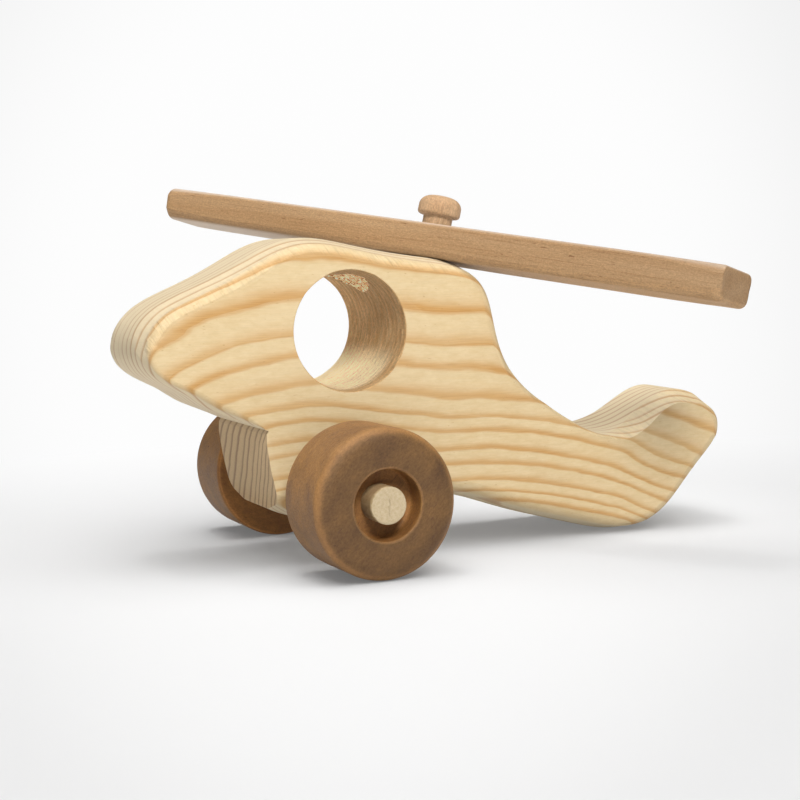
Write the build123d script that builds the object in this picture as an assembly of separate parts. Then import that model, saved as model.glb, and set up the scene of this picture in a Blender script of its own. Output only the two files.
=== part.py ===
from build123d import *
import os
from math import sin, cos, radians

# Wooden push-toy helicopter: a board fuselage on two wheels, with a turning rotor blade.
# +X points to the nose, +Y to port, +Z up.  The origin is on the ground, in the
# mid-plane, at the middle of the toy's length, close under the rotor's pivot.
# The toy stands on its two wheels and on the belly of its tail.  Millimetres, degrees.

# ---------------------------------------------------------------- shared by several pieces
running_clearance = 0.10        # radial, for both pivots
bore_overrun = 4.0              # extra length of a through-hole cutter, both ends together

# ---------------------------------------------------------------- fuselage board
board_thickness = 48.6          # side face to side face
edge_round = 9.5                # round-over cutter run along both outlines
edge_cutter_raise = 0.6         # the cutter is raised this much, so its arc meets the side early
long_rim_min = 50.0             # rim edges longer than this are rounded
trim_length, trim_height = 300.0, 160.0  # block that trims the board to its thickness
trim_z = 60.0                   # height of that block's middle
notch_overrun = 5.0             # notch cutter past each side face
cabin_radius = 20.0             # through hole: window and figure's seat
cabin_x, cabin_z = 41.5, 77.0

# ---------------------------------------------------------------- wheels and axle
wheel_radius = 24.25            # also the axle's height
wheel_width = 27.5
wheel_inner_y = 33.0            # wheel's inner face from the mid-plane
tread_round_outer = 2.7
tread_round_inner = 1.6
hub_recess_radius = 11.7
hub_recess_depth = 8.0
hub_recess_lip = 0.9            # round at the recess's mouth
hub_recess_fillet = 1.5         # fillet round the recess's floor
axle_x = 45.3
axle_radius = 6.0
axle_stick_out = 0.6            # past each wheel's outer face
axle_end_break = 0.5
axle_half_length = wheel_inner_y + wheel_width + axle_stick_out

# ---------------------------------------------------------------- rotor and its peg
mast_x, mast_z = 0.2, 99.75     # where the pivot line crosses the blade's underside
mast_lean_back = 12.6           # top of the peg towards the tail
mast_lean_side = -1.0           # hand-drilled hole slightly off plumb, top towards port
blade_azimuth = -54.6           # from the nose towards port, so negative is to starboard
blade_length = 223.4
blade_width = 26.0
blade_thickness = 11.8
blade_top_edge = 2.0            # round along the upper long edges
blade_bottom_edge = 3.4         # larger round along the lower long edges
blade_end_edge = 1.2            # easing round each sawn end
peg_radius = 5.2
peg_depth = 17.0                # glued length below the blade's underside
peg_hole_overrun = 10.0         # hole cutter above the blade's underside
peg_foot_break = 0.8            # chamfer at the peg's foot
peg_lift = 4.0                  # bare stem between blade and head
peg_head_radius = 7.55
peg_head_height = 7.2
head_rim_round = 1.4            # arc under the head's rim: its radius and its rise
head_rim_inset = 1.3            # where that arc starts, in from the rim
head_rim_top = 3.0              # top of the rim's straight side, above the stem
# Points along the dome: (fraction of the head's radius, height above the stem).
dome_points = [(0.80, 5.6), (0.45, 6.9)]

# ---------------------------------------------------------------- side outline
# (x, z), from the nose over the top to the tail and back along the belly.
top_line = [
    (111.71, 73.09), (110.95, 78.18), (107.58, 83.27), (101.41, 87.70), (94.11, 91.11),
    (86.25, 94.58), (79.13, 98.15), (72.60, 101.78), (66.79, 104.78), (61.25, 106.79),
    (55.29, 107.78), (47.28, 107.44), (38.28, 105.82), (29.31, 104.02), (19.81, 102.40),
    (9.78, 101.04), (0.41, 99.43), (-5.07, 97.35), (-9.23, 94.31), (-12.28, 90.19),
    (-14.38, 84.85), (-15.84, 78.68), (-17.60, 71.91), (-20.68, 64.54), (-25.29, 57.59),
    (-31.08, 51.69), (-38.22, 46.43), (-45.79, 41.91),
]
tail_line = [
    (-52.62, 38.61), (-59.48, 36.74), (-65.66, 36.85), (-71.70, 38.72), (-77.43, 41.86),
    (-83.21, 45.56), (-89.21, 48.76), (-95.19, 50.28), (-101.42, 49.68), (-107.02, 47.04),
    (-110.77, 42.67), (-111.76, 37.64), (-110.76, 33.24), (-107.98, 28.67),
]
belly_line = [
    (-103.15, 23.44), (-98.30, 18.40), (-93.61, 13.18), (-88.92, 8.28), (-83.72, 4.16),
    (-77.83, 1.30), (-70.70, 0.05), (-62.19, 0.53), (-52.19, 2.75), (-41.70, 5.52),
    (-31.70, 8.20), (-22.19, 10.99), (-12.23, 14.29), (-1.70, 17.52), (6.81, 18.81),
    (14.75, 18.43), (22.86, 16.74), (32.37, 14.43), (43.30, 13.12), (54.36, 13.89),
    (65.04, 16.97), (73.60, 22.82), (78.45, 30.26), (81.09, 38.56), (83.71, 45.97),
    (88.91, 52.90), (96.20, 57.79), (103.44, 61.68), (108.76, 66.09), (110.95, 69.73),
]
# Saw-cut notch under the nose, (x, z): it leaves the axle block with a flat sawn front.
notch_line = [
    (70.95, 45.50), (71.60, 44.30), (71.70, 41.00), (70.50, 33.00), (67.60, 19.80),
    (64.80, 8.00), (115.30, 8.00), (115.30, 53.00), (89.30, 53.00), (79.80, 49.20),
]


# ---------------------------------------------------------------- placing
def mast_location():
    """Pivot frame: z runs up the peg, x lies along the blade towards its nose end."""
    lean_back, lean_side = radians(mast_lean_back), radians(mast_lean_side)
    azimuth = radians(blade_azimuth)
    port = Vector(0, 1, 0)
    fore = Vector(cos(lean_back), 0, sin(lean_back))
    leaned_up = Vector(-sin(lean_back), 0, cos(lean_back))
    side = port * cos(lean_side) + leaned_up * sin(lean_side)
    mast_up = leaned_up * cos(lean_side) - port * sin(lean_side)
    blade_dir = fore * cos(azimuth) + side * sin(azimuth)
    return Plane(origin=(mast_x, 0, mast_z), x_dir=blade_dir, z_dir=mast_up).location


mast = mast_location()
axle_centre = Pos(axle_x, 0, wheel_radius)


# ---------------------------------------------------------------- fuselage
def side_points(table):
    """(x, z) pairs as points in the mid-plane."""
    return [Vector(x, 0, z) for x, z in table]


def slab(wire, half_width):
    """A mid-plane outline extruded to both sides."""
    return extrude(Face(wire), amount=half_width, dir=(0, 1, 0), both=True)


def cross_bore(radius):
    """Cutter along Y through the whole board."""
    return Rot(90, 0, 0) * Cylinder(radius, board_thickness + bore_overrun)


def make_fuselage():
    # The blank is thicker by the cutter's raise, rounded, then trimmed to thickness.
    half = board_thickness / 2
    blank_half = half + edge_cutter_raise
    points = side_points(top_line + tail_line + belly_line)
    outline = Wire([Edge.make_spline(points, periodic=True)])
    board = slab(outline, blank_half).solids()[0]
    rims = [e for e in board.edges()
            if abs(abs(e.center().Y) - blank_half) < 0.01 and e.length > long_rim_min]
    board = board.fillet(edge_round, rims)
    board = board & (Pos(0, 0, trim_z) * Box(trim_length, board_thickness, trim_height))

    notch = Wire.make_polygon(side_points(notch_line), close=True)
    board = board - slab(notch, half + notch_overrun)
    board = board - Pos(cabin_x, 0, cabin_z) * cross_bore(cabin_radius)
    board = board - axle_centre * cross_bore(axle_radius + running_clearance)

    # Blind hole for the peg.
    peg_hole = Cylinder(peg_radius, peg_depth + peg_hole_overrun)
    board = board - mast * Pos(0, 0, (peg_hole_overrun - peg_depth) / 2) * peg_hole
    return board.solids()[0]


# ---------------------------------------------------------------- rotor
def make_peg():
    """Mushroom-head peg: straight stem and a domed head with a rounded lower rim."""
    stem_top = blade_thickness + peg_lift
    head_top = stem_top + peg_head_height
    rim_start = (peg_head_radius - head_rim_inset, stem_top)
    rim_side = (peg_head_radius, stem_top + head_rim_round)
    dome_start = (peg_head_radius, stem_top + head_rim_top)
    dome = [(peg_head_radius * part, stem_top + rise) for part, rise in dome_points]
    with BuildPart() as peg:
        with BuildSketch(Plane.XZ):
            with BuildLine():
                Polyline((0, -peg_depth),
                         (peg_radius - peg_foot_break, -peg_depth),
                         (peg_radius, -peg_depth + peg_foot_break),
                         (peg_radius, stem_top),
                         rim_start)
                RadiusArc(rim_start, rim_side, -head_rim_round)
                Line(rim_side, dome_start)
                Spline(dome_start, *dome, (0, head_top), tangents=((0, 1), (-1, 0)))
                Line((0, head_top), (0, -peg_depth))
            make_face()
        revolve(axis=Axis.Z)
    return mast * peg.part


def make_blade():
    middle = Pos(0, 0, blade_thickness / 2)
    blade = middle * Box(blade_length, blade_width, blade_thickness)
    long_edges = blade.edges().filter_by(Axis.X).sort_by(Axis.Z)
    blade = fillet(long_edges[:2], blade_bottom_edge)
    blade = fillet(blade.edges().filter_by(Axis.X).group_by(Axis.Z)[-1], blade_top_edge)
    faces = blade.faces().sort_by(Axis.X)
    blade = fillet(faces[0].edges() + faces[-1].edges(), blade_end_edge)
    blade = blade - middle * Cylinder(peg_radius + running_clearance,
                                      blade_thickness + bore_overrun)
    return mast * blade


# ---------------------------------------------------------------- axle and wheels
def make_axle():
    rod = Cylinder(axle_radius, 2 * axle_half_length)
    rod = chamfer(rod.edges().filter_by(GeomType.CIRCLE), axle_end_break)
    return axle_centre * Rot(90, 0, 0) * rod


def make_wheel(side):
    """Turned about Z with its inner face at z = 0, then set to port (1) or starboard (-1)."""
    floor = wheel_width - hub_recess_depth
    inner_face_end = (wheel_radius - tread_round_inner, 0)
    tread_start = (wheel_radius, tread_round_inner)
    tread_end = (wheel_radius, wheel_width - tread_round_outer)
    outer_face_start = (wheel_radius - tread_round_outer, wheel_width)
    lip_top = (hub_recess_radius + hub_recess_lip, wheel_width)
    lip_bottom = (hub_recess_radius, wheel_width - hub_recess_lip)
    fillet_top = (hub_recess_radius, floor + hub_recess_fillet)
    fillet_bottom = (hub_recess_radius - hub_recess_fillet, floor)
    with BuildPart() as wheel:
        with BuildSketch(Plane.XZ):
            with BuildLine():
                Line((axle_radius, 0), inner_face_end)
                RadiusArc(inner_face_end, tread_start, -tread_round_inner)
                Line(tread_start, tread_end)
                RadiusArc(tread_end, outer_face_start, -tread_round_outer)
                Line(outer_face_start, lip_top)
                RadiusArc(lip_top, lip_bottom, -hub_recess_lip)
                Line(lip_bottom, fillet_top)
                RadiusArc(fillet_top, fillet_bottom, hub_recess_fillet)
                Polyline(fillet_bottom, (axle_radius, floor), (axle_radius, 0))
            make_face()
        revolve(axis=Axis.Z)
    return Pos(axle_x, side * wheel_inner_y, wheel_radius) * Rot(-90 * side, 0, 0) * wheel.part


# ---------------------------------------------------------------- export
pieces = {
    "fuselage": make_fuselage(),
    "rotor_peg": make_peg(),
    "rotor_blade": make_blade(),
    "axle": make_axle(),
    "wheel_port": make_wheel(1),
    "wheel_starboard": make_wheel(-1),
}
os.makedirs("parts", exist_ok=True)
for name, piece in pieces.items():
    piece.label = name
    export_step(piece, "parts/" + name + ".step")
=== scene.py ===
# A wooden push-along helicopter: a pine board fuselage with a bored window, one rotor blade
# on a turned peg, and two wheels on a dowel axle.
# The nose points to +X, port is +Y, up is +Z, and the wheels stand on z = 0.
# Lengths are millimetres unless a comment says otherwise; meshes are written in metres.
import math

import bmesh
import bpy
import numpy as np
from mathutils import Matrix, Vector, noise


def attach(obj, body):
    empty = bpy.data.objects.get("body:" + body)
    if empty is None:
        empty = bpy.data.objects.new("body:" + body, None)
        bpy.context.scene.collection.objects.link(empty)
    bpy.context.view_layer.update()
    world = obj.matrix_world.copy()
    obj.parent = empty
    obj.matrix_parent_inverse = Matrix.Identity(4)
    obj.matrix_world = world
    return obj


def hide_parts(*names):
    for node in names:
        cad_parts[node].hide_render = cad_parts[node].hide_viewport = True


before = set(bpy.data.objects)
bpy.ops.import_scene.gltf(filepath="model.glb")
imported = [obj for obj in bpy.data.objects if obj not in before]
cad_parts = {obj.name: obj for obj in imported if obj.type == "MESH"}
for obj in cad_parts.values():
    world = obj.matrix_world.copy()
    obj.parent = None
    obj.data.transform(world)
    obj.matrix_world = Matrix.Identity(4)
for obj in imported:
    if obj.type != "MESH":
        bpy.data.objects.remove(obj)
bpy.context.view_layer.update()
scene = bpy.context.scene
MILLI = 0.001

# ------------------------------------------------------------------ dimensions
HALF = 24.3                                     # half the board's thickness
CABIN_X, CABIN_Z, CABIN_R = 41.5, 77.0, 20.0    # window bored through the board
WHEEL_R, WHEEL_W = 24.25, 27.5
WHEEL_Y = 33.0                                  # inner face of each wheel
RECESS_R, RECESS_D = 11.7, 8.0                  # round the axle in each wheel's outer face
AXLE_X, AXLE_R = 45.3, 6.0
AXLE_PROUD = 0.6                                # how far it stands out of each wheel
AXLE_HALF = WHEEL_Y + WHEEL_W + AXLE_PROUD
MAST_X, MAST_Z = 0.2, 99.75
MAST_PITCH, MAST_ROLL = math.radians(12.6), math.radians(-1.0)
BLADE_TURN = math.radians(-54.6)                # about the mast
BLADE_L, BLADE_W, BLADE_T = 223.4, 26.0, 11.8
PEG_R = 5.2
PEG_FIT = 0.1                                   # clearance round the peg and the axle

# ------------------------------------------------------------------ the board's outline (x, z)
# from the nose tip back over the top to the neck
TOP_LINE = [
    (111.71, 73.09), (110.95, 78.18), (107.58, 83.27), (101.41, 87.70), (94.11, 91.11),
    (86.25, 94.58), (79.13, 98.15), (72.60, 101.78), (66.79, 104.78), (61.25, 106.79),
    (55.29, 107.78), (47.28, 107.44), (38.28, 105.82), (29.31, 104.02), (19.81, 102.40),
    (9.78, 101.04), (0.41, 99.43), (-5.07, 97.35), (-9.23, 94.31), (-12.28, 90.19),
    (-14.38, 84.85), (-15.84, 78.68), (-17.60, 71.91), (-20.68, 64.54), (-25.29, 57.59),
    (-31.08, 51.69), (-38.22, 46.43), (-45.79, 41.91),
]
# the tail's scoop is a little askew: its line down the middle, then on either side
TAIL_MEAN = [
    (-52.62, 38.61), (-59.48, 36.74), (-65.66, 36.85), (-71.70, 38.72), (-77.43, 41.86),
    (-83.21, 45.56), (-89.21, 48.76), (-95.19, 50.28), (-101.42, 49.68), (-107.02, 47.04),
    (-110.77, 42.67), (-111.76, 37.64), (-110.76, 33.24), (-107.98, 28.67),
]
TAIL_PORT = [
    (-52.59, 38.54), (-59.25, 36.73), (-65.13, 37.22), (-70.45, 39.66), (-75.04, 43.26),
    (-79.77, 47.13), (-84.93, 49.84), (-90.69, 50.85), (-97.86, 49.93), (-104.83, 47.05),
    (-109.75, 42.34), (-111.31, 37.67), (-110.75, 33.22), (-108.04, 28.63),
]
TAIL_STARBOARD = [
    (-52.65, 38.67), (-59.72, 36.76), (-66.18, 36.48), (-72.94, 37.77), (-79.82, 40.45),
    (-86.65, 44.00), (-93.49, 47.67), (-99.68, 49.70), (-104.98, 49.43), (-109.22, 47.03),
    (-111.79, 42.99), (-112.20, 37.60), (-110.77, 33.26), (-107.93, 28.72),
]
# from the tail forward under the belly and back up to the nose tip
BELLY_LINE = [
    (-103.15, 23.44), (-98.30, 18.40), (-93.61, 13.18), (-88.92, 8.28), (-83.72, 4.16),
    (-77.83, 1.30), (-70.70, 0.05), (-62.19, 0.53), (-52.19, 2.75), (-41.70, 5.52),
    (-31.70, 8.20), (-22.19, 10.99), (-12.23, 14.29), (-1.70, 17.52), (6.81, 18.81),
    (14.75, 18.43), (22.86, 16.74), (32.37, 14.43), (43.30, 13.12), (54.36, 13.89),
    (65.04, 16.97), (73.60, 22.82), (78.45, 30.26), (81.09, 38.56), (83.71, 45.97),
    (88.91, 52.90), (96.20, 57.79), (103.44, 61.68), (108.76, 66.09), (110.95, 69.73),
]
# underside of the nose from the sawn step forward; it ends on the belly line
UNDER_NOSE = [(72.5, 46.15), (76.0, 47.62), (79.8, 49.20), (84.5, 51.12), (88.9, 53.08),
              (92.4, 55.30), (96.20, 57.79)]
# bridges the belly line and the nose's underside where the saw takes the wood away
SAWN_GAP = [(81.09, 38.56), (78.5, 41.2), (75.8, 43.3), (73.2, 44.6), UNDER_NOSE[0]]
# side view of the wood the saw takes out
SAW_CUT = [(70.95, 45.50), (71.60, 44.30), (71.70, 41.00), (70.50, 33.00), (67.60, 19.80),
           (64.80, 8.00), (95.0, 8.0), (95.0, 36.0), (80.0, 44.0), (73.6, 46.67)]
# torn patch in the window's wall: (y, degrees up from +X) of its rear and front limits
TORN_REAR = [(-20, 118), (-14, 126), (-9, 133.5), (-5, 138.5), (-1, 143.5), (5, 139),
             (9, 133), (12.5, 121)]
TORN_FRONT = [(-20, 117), (-12, 115.5), (-3, 113.5), (6, 112.5), (10, 116.5), (12.5, 120)]

# ------------------------------------------------------------------ growth rings
PITH_Y, PITH_Z = -180.2, 171.1
RING_R = [150.0, 154.6, 159.2, 163.7, 168.1, 172.5, 176.6, 181.0, 185.5, 190.0, 194.7, 199.3,
          203.8, 208.4, 213.1, 217.9, 223.0, 227.8, 231.5, 236.0, 239.4, 242.1, 245.3, 247.9,
          251.4, 253.9, 256.0, 260.5, 264.0, 268.0, 272.5]
# (x, how far the grain lies above the pith's line there)
ARCH = [(-112.0, -29.5), (-99.7, -25.5), (-90.7, -22.3), (-80.7, -18.8), (-72.7, -15.3),
        (-63.7, -11.2), (-54.7, -8.6), (-46.7, -6.6), (-38.7, -4.9), (-30.7, -3.2),
        (-21.7, -2.0), (-13.7, -1.0), (-6.7, -0.2), (1.3, 0.0), (9.3, 0.5), (16.3, 1.5),
        (35.3, 4.2), (55.3, 6.3), (66.3, 5.6), (73.3, 4.6), (80.3, 3.0), (87.3, 1.0),
        (93.3, -1.2), (100.3, -4.6), (105.3, -7.2), (112.0, -12.5)]


# ------------------------------------------------------------------ curve helpers
def run_length(points):
    """Distance travelled along a polyline at each of its points."""
    return np.concatenate([[0], np.cumsum(np.linalg.norm(np.diff(points, axis=0), axis=1))])


def point_at(distance, run, points):
    return np.stack([np.interp(distance, run, points[:, 0]),
                     np.interp(distance, run, points[:, 1])], 1)


def evenly(curves, step):
    """Resamples the first curve in even steps of its length; the others follow it."""
    run = run_length(curves[0])
    count = max(2, int(round(run[-1] / step)))
    distance = np.linspace(0, run[-1], count + 1)
    return [point_at(distance, run, curve) for curve in curves]


def closed_spline(points, knots):
    """Periodic cubic through n points at n + 1 knots; returns a function of the parameter."""
    points = np.asarray(points, float)
    count = len(points)
    gaps = np.diff(knots)
    system = np.zeros((count, count))
    target = np.zeros((count, 2))
    for i in range(count):
        before, after = gaps[i - 1], gaps[i]
        following = (i + 1) % count
        system[i, i - 1] += before
        system[i, i] += 2 * (before + after)
        system[i, following] += after
        target[i] = 6 * ((points[following] - points[i]) / after
                         - (points[i] - points[i - 1]) / before)
    second = np.linalg.solve(system, target)    # second derivatives at the points

    def position(parameter):
        i = np.clip(np.searchsorted(knots, parameter, side="right") - 1, 0, count - 1)
        gap = gaps[i][:, None]
        done = (parameter - knots[i])[:, None]
        left = gap - done
        start, end = points[i], points[(i + 1) % count]
        bend_start, bend_end = second[i], second[(i + 1) % count]
        return (bend_start * left ** 3 + bend_end * done ** 3) / (6 * gap) \
            + (start / gap - bend_start * gap / 6) * left \
            + (end / gap - bend_end * gap / 6) * done
    return position


def arc(centre_x, centre_z, radius, start, end, steps):
    """steps + 1 points of an arc; angles in degrees."""
    angles = [math.radians(start + (end - start) * i / steps) for i in range(steps + 1)]
    return [(centre_x + radius * math.cos(a), centre_z + radius * math.sin(a)) for a in angles]


def noise_at(x, y, z):
    return noise.noise(Vector((x, y, z)))


# ------------------------------------------------------------------ mesh helpers
def shade(piece, crease):
    """Smooth, with edges sharper than crease degrees kept sharp."""
    mesh = piece.data
    mesh.polygons.foreach_set("use_smooth", [True] * len(mesh.polygons))
    mesh.set_sharp_from_angle(angle=math.radians(crease))
    mesh.update()


def new_object(name, verts, faces, crease=30.0, matrix=None):
    """An object with outward normals from vertices in millimetres."""
    mesh = bpy.data.meshes.new(name)
    mesh.from_pydata([(x * MILLI, y * MILLI, z * MILLI) for x, y, z in verts], [], faces)
    mesh.validate()
    mesh.update()
    piece = bpy.data.objects.new(name, mesh)
    scene.collection.objects.link(piece)
    if matrix is not None:
        piece.matrix_world = matrix
    work = bmesh.new()
    work.from_mesh(mesh)
    bmesh.ops.recalc_face_normals(work, faces=work.faces)
    work.to_mesh(mesh)
    work.free()
    shade(piece, crease)
    return piece


def tube_faces(rings, count):
    """Quads between successive closed rings of count vertices each."""
    faces = []
    for j in range(rings - 1):
        low, high = j * count, (j + 1) * count
        for i in range(count):
            following = (i + 1) % count
            faces.append((low + i, low + following, high + following, high + i))
    return faces


def lathe(name, profile, segments, crease=30.0, matrix=None, wobble=None):
    """Turns a profile of (radius, height) about local Z. A closed profile gives a ring."""
    closed = profile[0] == profile[-1]
    rows = profile[:-1] if closed else profile
    verts, index = [], []
    for radius, z in rows:
        if radius < 1e-6:
            index.append([len(verts)] * segments)
            verts.append((0.0, 0.0, z))
            continue
        index.append(list(range(len(verts), len(verts) + segments)))
        for k in range(segments):
            angle = 2 * math.pi * k / segments
            reach, height = wobble(radius, z, angle) if wobble else (radius, z)
            verts.append((reach * math.cos(angle), reach * math.sin(angle), height))
    faces = []
    for j in range(len(rows) if closed else len(rows) - 1):
        low, high = index[j], index[(j + 1) % len(rows)]
        for k in range(segments):
            following = (k + 1) % segments
            # repeated vertices drop out, which leaves triangles at a pole
            faces.append(list(dict.fromkeys(
                [low[k], low[following], high[following], high[k]])))
    return new_object(name, verts, faces, crease, matrix)


def cut(piece, cutter):
    """Takes the cutter out of the piece and removes it."""
    boolean = piece.modifiers.new("cut", "BOOLEAN")
    boolean.operation, boolean.solver, boolean.object = "DIFFERENCE", "EXACT", cutter
    bpy.context.view_layer.update()
    mesh = bpy.data.meshes.new_from_object(
        piece.evaluated_get(bpy.context.evaluated_depsgraph_get()))
    piece.modifiers.remove(boolean)
    old, piece.data = piece.data, mesh
    bpy.data.meshes.remove(old)
    bpy.data.objects.remove(cutter)


def frame_matrix(x_axis, y_axis, z_axis, origin):
    matrix = Matrix((x_axis, y_axis, z_axis)).transposed().to_4x4()
    matrix.translation = origin
    return matrix


def mast_matrix():
    """Frame of the leaning mast: local Z up it, local X along the blade."""
    fore = Vector((math.cos(MAST_PITCH), 0, math.sin(MAST_PITCH)))
    pitched_up = Vector((-math.sin(MAST_PITCH), 0, math.cos(MAST_PITCH)))
    port = Vector((0, 1, 0))
    side = port * math.cos(MAST_ROLL) + pitched_up * math.sin(MAST_ROLL)
    mast = pitched_up * math.cos(MAST_ROLL) - port * math.sin(MAST_ROLL)
    blade = fore * math.cos(BLADE_TURN) + side * math.sin(BLADE_TURN)
    return frame_matrix(blade, mast.cross(blade), mast, (MAST_X * MILLI, 0.0, MAST_Z * MILLI))


def axle_matrix(y, degrees):
    """On the axle's line; -90 degrees turns local Z to port, 90 to starboard."""
    return Matrix.Translation((AXLE_X * MILLI, y * MILLI, WHEEL_R * MILLI)) \
        @ Matrix.Rotation(math.radians(degrees), 4, "X")


# ------------------------------------------------------------------ fuselage
FLAT_Y = 12.5             # the edge is square across to here
FLAT_INSET = 0.12         # inset of the edge there
EDGE_SLOPE = math.radians(13.0)
ROUND_END = math.radians(77.0)
ROUND_Y, ROUND_INSET, ROUND_R = 20.05, 1.86, 5.45    # where the round-over's arc starts
OUTLINE_STEP, GAP_STEP = 0.75, 1.5
FUSELAGE_CREASE = 11.0


def nose_underside(beyond):
    """Catmull-Rom along the underside, leaving towards the outline's next point."""
    line = np.array(UNDER_NOSE)
    line = np.vstack([2 * line[0] - line[1], line, beyond])
    points = []
    for i in range(1, len(line) - 2):
        before, start, end, after = line[i - 1:i + 3]
        for t in np.linspace(0, 1, 120, endpoint=False):
            points.append(0.5 * (2 * start + (end - before) * t
                                 + (2 * before - 5 * start + 4 * end - after) * t * t
                                 + (3 * start - before - 3 * end + after) * t ** 3))
    return np.array(points)


def fuselage_outlines():
    """Middle, port and starboard outlines, and where their main run and sawn gap end."""
    mean = np.array(TOP_LINE + TAIL_MEAN + BELLY_LINE)
    knots = run_length(np.vstack([mean, mean[:1]]))
    splines = [closed_spline(TOP_LINE + tail + BELLY_LINE, knots)
               for tail in (TAIL_MEAN, TAIL_PORT, TAIL_STARBOARD)]
    belly = len(TOP_LINE) + len(TAIL_MEAN)
    gap_start = belly + BELLY_LINE.index(SAWN_GAP[0])
    nose_start = belly + BELLY_LINE.index(UNDER_NOSE[-1])
    # from the nose right round to the saw cut
    parameter = np.concatenate([np.linspace(knots[nose_start], knots[-1], 1600)[:-1],
                                np.linspace(0, knots[gap_start], 24000)])
    main = evenly([spline(parameter) for spline in splines], OUTLINE_STEP)
    gap = np.array(SAWN_GAP)
    gap_run = run_length(gap)
    gap = point_at(np.linspace(0, gap_run[-1], 400)[1:-1], gap_run, gap)
    gap = evenly([gap], GAP_STEP)[0]
    under = np.vstack([nose_underside(mean[nose_start + 1]), mean[nose_start]])
    under = evenly([under], OUTLINE_STEP)[0][:-1]
    outlines = [np.vstack([side, gap, under]) for side in main]
    return outlines, len(main[0]), len(main[0]) + len(gap)


def outline_normals(points):
    tangent = np.roll(points, -1, axis=0) - np.roll(points, 1, axis=0)
    tangent /= np.linalg.norm(tangent, axis=1)[:, None]
    return np.stack([tangent[:, 1], -tangent[:, 0]], 1)


def edge_shares(outline, main_end, gap_end):
    """Share of the full round-over, and of a flat bevel in its place, at each station."""
    share, bevel = np.ones(len(outline)), np.zeros(len(outline))
    for i, (x, z) in enumerate(outline):
        if i >= gap_end:                        # lighter under the nose
            share[i] = np.interp(x, [71.0, 77.5, 84.0, 89.0, 96.2], [0.0, 0.31, 0.44, 0.52, 0.42])
        elif i >= main_end:                     # nothing at the sawn step
            share[i] = 0.0
        else:
            if x > 64.0 and z < 40.0:           # fades out ahead of the saw cut
                share[i] = np.interp(z, [18.5, 30.0], [1.0, 0.0])
            if x > 96.0 and z < 80.0:           # nose tip
                share[i] = np.interp(z, [57.8, 62.0, 66.0, 70.0, 74.0, 80.0],
                                     [0.42, 0.32, 0.34, 0.52, 0.80, 1.0])
            if z > 30.0 and x < -18.0:          # the neck's edge is only just eased
                share[i] = np.interp(x, [-112.0, -104.0, -76.0, -67.0, -60.0, -34.0, -20.0],
                                     [1.0, 0.80, 0.80, 0.62, 0.30, 0.34, 1.0])
            if z > 30.0 and x < -40.0:
                bevel[i] = np.interp(x, [-110.0, -102.0, -68.0, -60.0], [0.0, 1.0, 1.0, 0.0])
        share[i] *= 1.0 + 0.035 * noise_at(x * 0.035, 3.0, z * 0.035)
    return share, bevel


def edge_section():
    """(y, inset) across the edge: square, a relieved slope, then the round-over's arc."""
    half = [(0.0, 0.0), (5.0, 0.0), (10.0, 0.0), (11.7, 0.02), (FLAT_Y, FLAT_INSET)]
    half += [(FLAT_Y + out, FLAT_INSET + out * math.tan(EDGE_SLOPE))
             for out in (0.9, 2.4, 4.2, 6.0)]
    centre_y = ROUND_Y - ROUND_R * math.sin(EDGE_SLOPE)
    centre_inset = ROUND_INSET + ROUND_R * math.cos(EDGE_SLOPE)
    for k in range(13):
        angle = EDGE_SLOPE + (ROUND_END - EDGE_SLOPE) * k / 12
        half.append((centre_y + ROUND_R * math.sin(angle),
                     centre_inset - ROUND_R * math.cos(angle)))
    stretch = (HALF - FLAT_Y) / (half[-1][0] - FLAT_Y)
    half = [(y if y <= FLAT_Y else FLAT_Y + (y - FLAT_Y) * stretch, inset) for y, inset in half]
    return [(-y, inset) for y, inset in half[:0:-1]] + half


def board():
    """The shaped board before sawing and boring."""
    (mean, port, starboard), main_end, gap_end = fuselage_outlines()
    port_normal, starboard_normal = outline_normals(port), outline_normals(starboard)
    share, bevel = edge_shares(mean, main_end, gap_end)
    narrowing = np.clip(share * 1.08, 0.16, 1.0)     # the eased band is narrower where light
    band = (HALF - FLAT_Y) * narrowing
    rows = edge_section()
    count = len(mean)
    verts = []
    for y, inset in rows:
        to_port = (y + HALF) / (2 * HALF)
        base = starboard * (1 - to_port) + port * to_port
        normal = starboard_normal * (1 - to_port) + port_normal * to_port
        normal /= np.linalg.norm(normal, axis=1)[:, None]
        out = abs(y)
        flat = FLAT_INSET + (out - FLAT_Y) * 5.35 / (HALF - FLAT_Y) if out > FLAT_Y else inset
        if out > HALF - 1.2:
            flat = max(flat, inset - 0.55)
        depth = (inset * (1 - bevel) + flat * bevel) * share
        point = base - normal * depth[:, None]
        if out > FLAT_Y:
            width = HALF - (HALF - out) * narrowing
        else:
            width = out * (HALF - band) / FLAT_Y
        verts += [(point[i, 0], math.copysign(width[i], y), point[i, 1]) for i in range(count)]
    faces = tube_faces(len(rows), count)
    faces.append(tuple(range(count))[::-1])
    faces.append(tuple((len(rows) - 1) * count + i for i in range(count)))
    return new_object("fuselage_wood", verts, faces, FUSELAGE_CREASE)


def saw_cutter():
    """Prism for the sawn step under the nose."""
    count = len(SAW_CUT)
    verts = [(x, y, z) for y in (-30.0, 30.0) for x, z in SAW_CUT]
    faces = [tuple(range(count)), tuple(range(2 * count - 1, count - 1, -1))]
    return new_object("cutter", verts, faces + tube_faces(2, count))


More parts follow.
